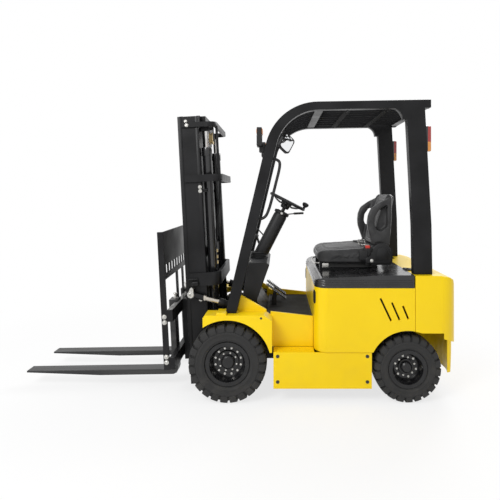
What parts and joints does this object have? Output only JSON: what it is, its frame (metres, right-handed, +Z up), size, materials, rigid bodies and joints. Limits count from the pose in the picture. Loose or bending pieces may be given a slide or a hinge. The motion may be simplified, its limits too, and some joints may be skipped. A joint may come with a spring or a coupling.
{
  "type": "electric counterbalance forklift",
  "caption": "Four-wheel electric counterbalance forklift with a two-stage tilting mast, forks, load backrest, steered rear wheels, overhead guard and a seat on a lifting hood.",
  "frame": {"origin": "on the ground under the middle of the whole machine", "axes": "+X towards the fork tips, +Y to the driver's left, +Z up"},
  "size_m": [3.068, 1.08, 2.06],
  "materials": {
    "yellow_paint": "gloss",
    "black_paint": "satin",
    "black_plastic": "grained",
    "mirror_glass": "mirror in a black shell",
    "lamp_red": "clear gloss",
    "battery_black": "matte",
    "mat_rubber": "matte",
    "chain_steel": "oiled",
    "rod_chrome": "hard chrome",
    "tyre_rubber": "matte",
    "seat_vinyl": "grained vinyl"
  },
  "bodies": {
    "chassis": {"frame": "black_paint", "front_axle": "black_paint", "steer_axle": "black_paint", "front_fenders": "yellow_paint", "step_covers": "yellow_paint", "battery_case": "yellow_paint", "counterweight": "yellow_paint", "battery": "battery_black", "floor_mat": "mat_rubber", "dash_cowl": "black_plastic", "steering_column": "black_plastic", "pedals": "black_plastic", "control_levers": "black_plastic", "overhead_guard": "black_paint", "roof_bars_panel": "black_paint", "grab_handle": "black_plastic", "front_lamps": "black_plastic", "rear_lamps": "lamp_red", "mirror": "mirror_glass", "hood_hinges": "black_paint"},
    "outer_mast": {"outer_mast": "black_paint", "tilt_pins": "rod_chrome", "lift_barrels": "black_paint", "anchor_chains": "chain_steel"},
    "inner_mast": {"inner_mast": "black_paint", "lift_rods": "rod_chrome", "carriage_chains": "chain_steel"},
    "carriage": {"carriage": "black_paint", "load_backrest": "black_paint", "fork_left": "black_paint", "fork_right": "black_paint"},
    "steering_wheel": {"steering_wheel": "black_plastic"},
    "hood": {"hood": "black_plastic", "seat_base": "black_paint", "seat_cushion": "seat_vinyl", "seat_back": "seat_vinyl"},
    "tilt_barrel_left": {"tilt_barrel_left": "black_paint"},
    "tilt_rod_left": {"tilt_rod_left": "rod_chrome"},
    "wheel_front_left": {"front_tyre_left": "tyre_rubber", "front_rim_left": "black_paint"},
    "knuckle_left": {"knuckle_left": "black_paint"},
    "wheel_rear_left": {"rear_tyre_left": "tyre_rubber", "rear_rim_left": "black_paint"},
    "tilt_barrel_right": {"tilt_barrel_right": "black_paint"},
    "tilt_rod_right": {"tilt_rod_right": "rod_chrome"},
    "wheel_front_right": {"front_tyre_right": "tyre_rubber", "front_rim_right": "black_paint"},
    "knuckle_right": {"knuckle_right": "black_paint"},
    "wheel_rear_right": {"rear_tyre_right": "tyre_rubber", "rear_rim_right": "black_paint"}
  },
  "joints": [
    {"name": "mast_tilt", "type": "hinge", "parent": "chassis", "child": "outer_mast", "pos_m": [0.03, 0, 0.2665], "axis": [0, 1, 0], "range_deg": [-13, 2]},
    {"name": "inner_mast_lift", "type": "slide", "parent": "outer_mast", "child": "inner_mast", "axis": [0.0523, 0, 0.9986], "range_m": [-0.038, 1.362], "deforming": ["anchor_chains"]},
    {"name": "carriage_lift", "type": "slide", "parent": "inner_mast", "child": "carriage", "axis": [0.0523, 0, 0.9986], "range_m": [-0.038, 1.362], "deforming": ["carriage_chains"]},
    {"name": "tilt_barrel_left_swing", "type": "hinge", "parent": "chassis", "child": "tilt_barrel_left", "pos_m": [-0.185, 0.346, 0.559], "axis": [0, 1, 0], "range_deg": [-10.41, 1.77]},
    {"name": "tilt_rod_left_slide", "type": "slide", "parent": "tilt_barrel_left", "child": "tilt_rod_left", "axis": [0.9618, 0, 0.2738], "range_m": [-0.0798, 0.0131]},
    {"name": "front_left_spin", "type": "hinge", "parent": "chassis", "child": "wheel_front_left", "pos_m": [0.03, 0.44, 0.2665], "axis": [0, 1, 0], "continuous": true},
    {"name": "knuckle_left_steer", "type": "hinge", "parent": "chassis", "child": "knuckle_left", "pos_m": [-1.19, 0.325, 0.2285], "axis": [0, 0, 1], "range_deg": [-60, 60]},
    {"name": "rear_left_spin", "type": "hinge", "parent": "knuckle_left", "child": "wheel_rear_left", "pos_m": [-1.19, 0.445, 0.2285], "axis": [0, 1, 0], "continuous": true},
    {"name": "tilt_barrel_right_swing", "type": "hinge", "parent": "chassis", "child": "tilt_barrel_right", "pos_m": [-0.185, -0.346, 0.559], "axis": [0, 1, 0], "range_deg": [-10.41, 1.77]},
    {"name": "tilt_rod_right_slide", "type": "slide", "parent": "tilt_barrel_right", "child": "tilt_rod_right", "axis": [0.9618, 0, 0.2738], "range_m": [-0.0798, 0.0131]},
    {"name": "front_right_spin", "type": "hinge", "parent": "chassis", "child": "wheel_front_right", "pos_m": [0.03, -0.44, 0.2665], "axis": [0, 1, 0], "continuous": true},
    {"name": "knuckle_right_steer", "type": "hinge", "parent": "chassis", "child": "knuckle_right", "pos_m": [-1.19, -0.325, 0.2285], "axis": [0, 0, 1], "range_deg": [-60, 60]},
    {"name": "rear_right_spin", "type": "hinge", "parent": "knuckle_right", "child": "wheel_rear_right", "pos_m": [-1.19, -0.445, 0.2285], "axis": [0, 1, 0], "continuous": true},
    {"name": "steering_wheel_turn", "type": "hinge", "parent": "chassis", "child": "steering_wheel", "pos_m": [-0.387, 0, 1.353], "axis": [-0.454, 0, 0.891], "continuous": true},
    {"name": "hood_lift", "type": "hinge", "parent": "chassis", "child": "hood", "pos_m": [-1.23, 0, 0.867], "axis": [0, -1, 0], "range_deg": [0, 70]}
  ],
  "couplings": [
    {"joint": "carriage_lift", "follows": "inner_mast_lift", "ratio": 1},
    {"joint": "tilt_barrel_left_swing", "follows": "mast_tilt", "ratio": 0.78569},
    {"joint": "tilt_rod_left_slide", "follows": "mast_tilt", "m_per_rad": 0.3475},
    {"joint": "tilt_barrel_right_swing", "follows": "mast_tilt", "ratio": 0.78569},
    {"joint": "tilt_rod_right_slide", "follows": "mast_tilt", "m_per_rad": 0.3475},
    {"joint": "knuckle_right_steer", "follows": "knuckle_left_steer", "ratio": 1}
  ]
}
